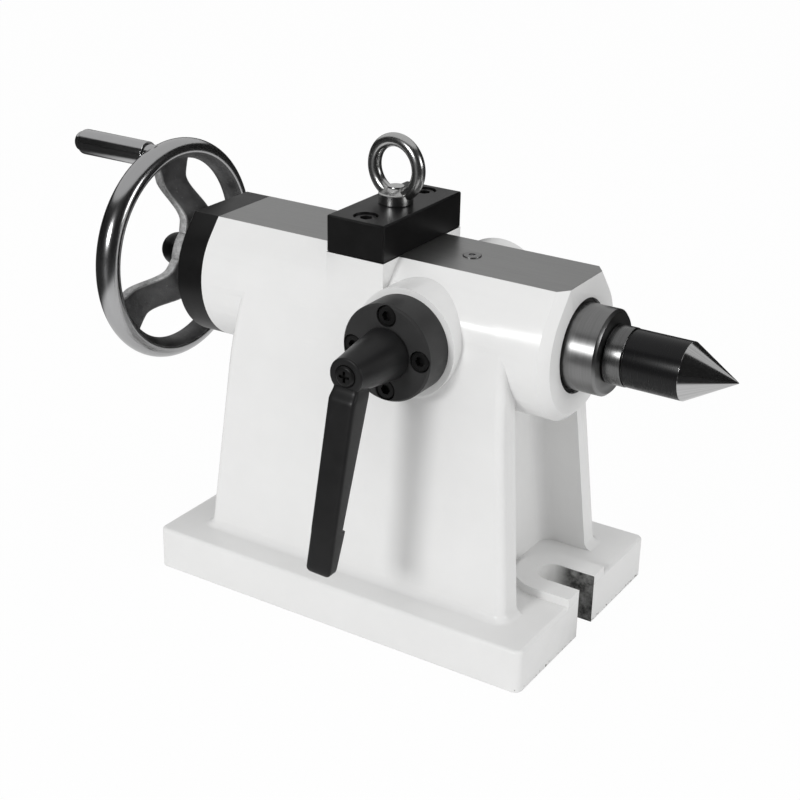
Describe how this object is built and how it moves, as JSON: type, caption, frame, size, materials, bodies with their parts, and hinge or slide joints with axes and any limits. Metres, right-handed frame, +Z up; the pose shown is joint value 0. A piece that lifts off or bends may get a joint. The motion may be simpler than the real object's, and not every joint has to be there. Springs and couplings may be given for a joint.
{
  "type": "tailstock",
  "caption": "Manual tailstock for a rotary table: cast body on a slotted base, handwheel-driven quill with a dead centre, clamping lever and lifting eye.",
  "frame": {"origin": "middle of the base's underside, below the spindle axis", "axes": "+X along the spindle axis towards the work, +Y to the back, away from the clamping lever, +Z up"},
  "size_m": [0.3376, 0.161, 0.2113],
  "materials": {
    "cast_iron_white": "white gloss enamel on a machined casting, ground flat on top",
    "black_oxide": "black oxide, satin",
    "black_lever": "black powder coat on a zinc casting",
    "ground_steel": "ground steel",
    "polished_steel": "polished and plated",
    "stainless": "polished stainless steel",
    "bronze": "turned bronze",
    "brass": "turned brass",
    "bearing_steel": "ground bearing steel",
    "black_rubber": "felt and rubber wiper",
    "spring_steel": "spring wire"
  },
  "bodies": {
    "root": {"body_casting": "cast_iron_white", "rear_cap": "black_oxide", "rear_cap_screws": "black_oxide", "wiper_ring": "black_rubber", "front_thrust_bearing": "bearing_steel", "rear_thrust_bearing": "bearing_steel", "lifting_block": "black_oxide", "lifting_block_screws": "black_oxide", "eye_bolt": "stainless", "oiler": "ground_steel", "clamp_flange": "black_oxide", "clamp_flange_screws": "black_oxide", "guide_key": "ground_steel", "guide_plug": "black_oxide"},
    "oiler_ball": {"oiler_ball": "bearing_steel"},
    "handwheel": {"lead_screw": "ground_steel", "handwheel": "polished_steel", "handwheel_key": "ground_steel", "handwheel_washer": "black_oxide", "handwheel_nut": "black_oxide", "handle_stud": "polished_steel"},
    "quill": {"quill": "ground_steel", "lead_nut": "bronze", "lead_nut_screws": "black_oxide", "dead_centre": "black_oxide"},
    "crank_handle": {"crank_handle": "polished_steel"},
    "clamp_shoe": {"clamp_shoe": "brass"},
    "clamp_stud": {"clamp_screw": "ground_steel", "lever_insert": "ground_steel", "lever_screw": "black_oxide", "lever_spring": "spring_steel"},
    "clamp_lever": {"clamp_lever": "black_lever"}
  },
  "joints": [
    {"name": "handwheel_turn", "type": "hinge", "parent": "root", "child": "handwheel", "pos_m": [0, 0, 0.135], "axis": [1, 0, 0], "range_deg": [-1170, 2430]},
    {"name": "quill_slide", "type": "slide", "parent": "root", "child": "quill", "axis": [1, 0, 0], "range_m": [-0.0131, 0.0271]},
    {"name": "crank_spin", "type": "hinge", "parent": "handwheel", "child": "crank_handle", "pos_m": [-0.1587, -0.01019, 0.18293], "axis": [1, 0, 0], "continuous": true},
    {"name": "shoe_press", "type": "slide", "parent": "root", "child": "clamp_shoe", "axis": [0, -1, 0], "range_m": [0, 0.000585]},
    {"name": "lever_turn", "type": "hinge", "parent": "clamp_shoe", "child": "clamp_stud", "pos_m": [0.0238, -0.07, 0.135], "axis": [0, -1, 0], "range_deg": [0, 110]},
    {"name": "lever_lift", "type": "slide", "parent": "clamp_stud", "child": "clamp_lever", "axis": [0, -1, 0], "range_m": [0, 0.004], "stiffness_N_per_m": 1500, "springref_m": -0.002, "deforming": ["lever_spring"]},
    {"name": "oiler_ball_press", "type": "slide", "parent": "root", "child": "oiler_ball", "axis": [0, 0, -1], "range_m": [0, 0.001], "stiffness_N_per_m": 60, "springref_m": -0.0005}
  ],
  "couplings": [
    {"joint": "quill_slide", "follows": "handwheel_turn", "m_per_rad": 0.00063662},
    {"joint": "shoe_press", "follows": "lever_turn", "m_per_rad": 0.00027852}
  ]
}
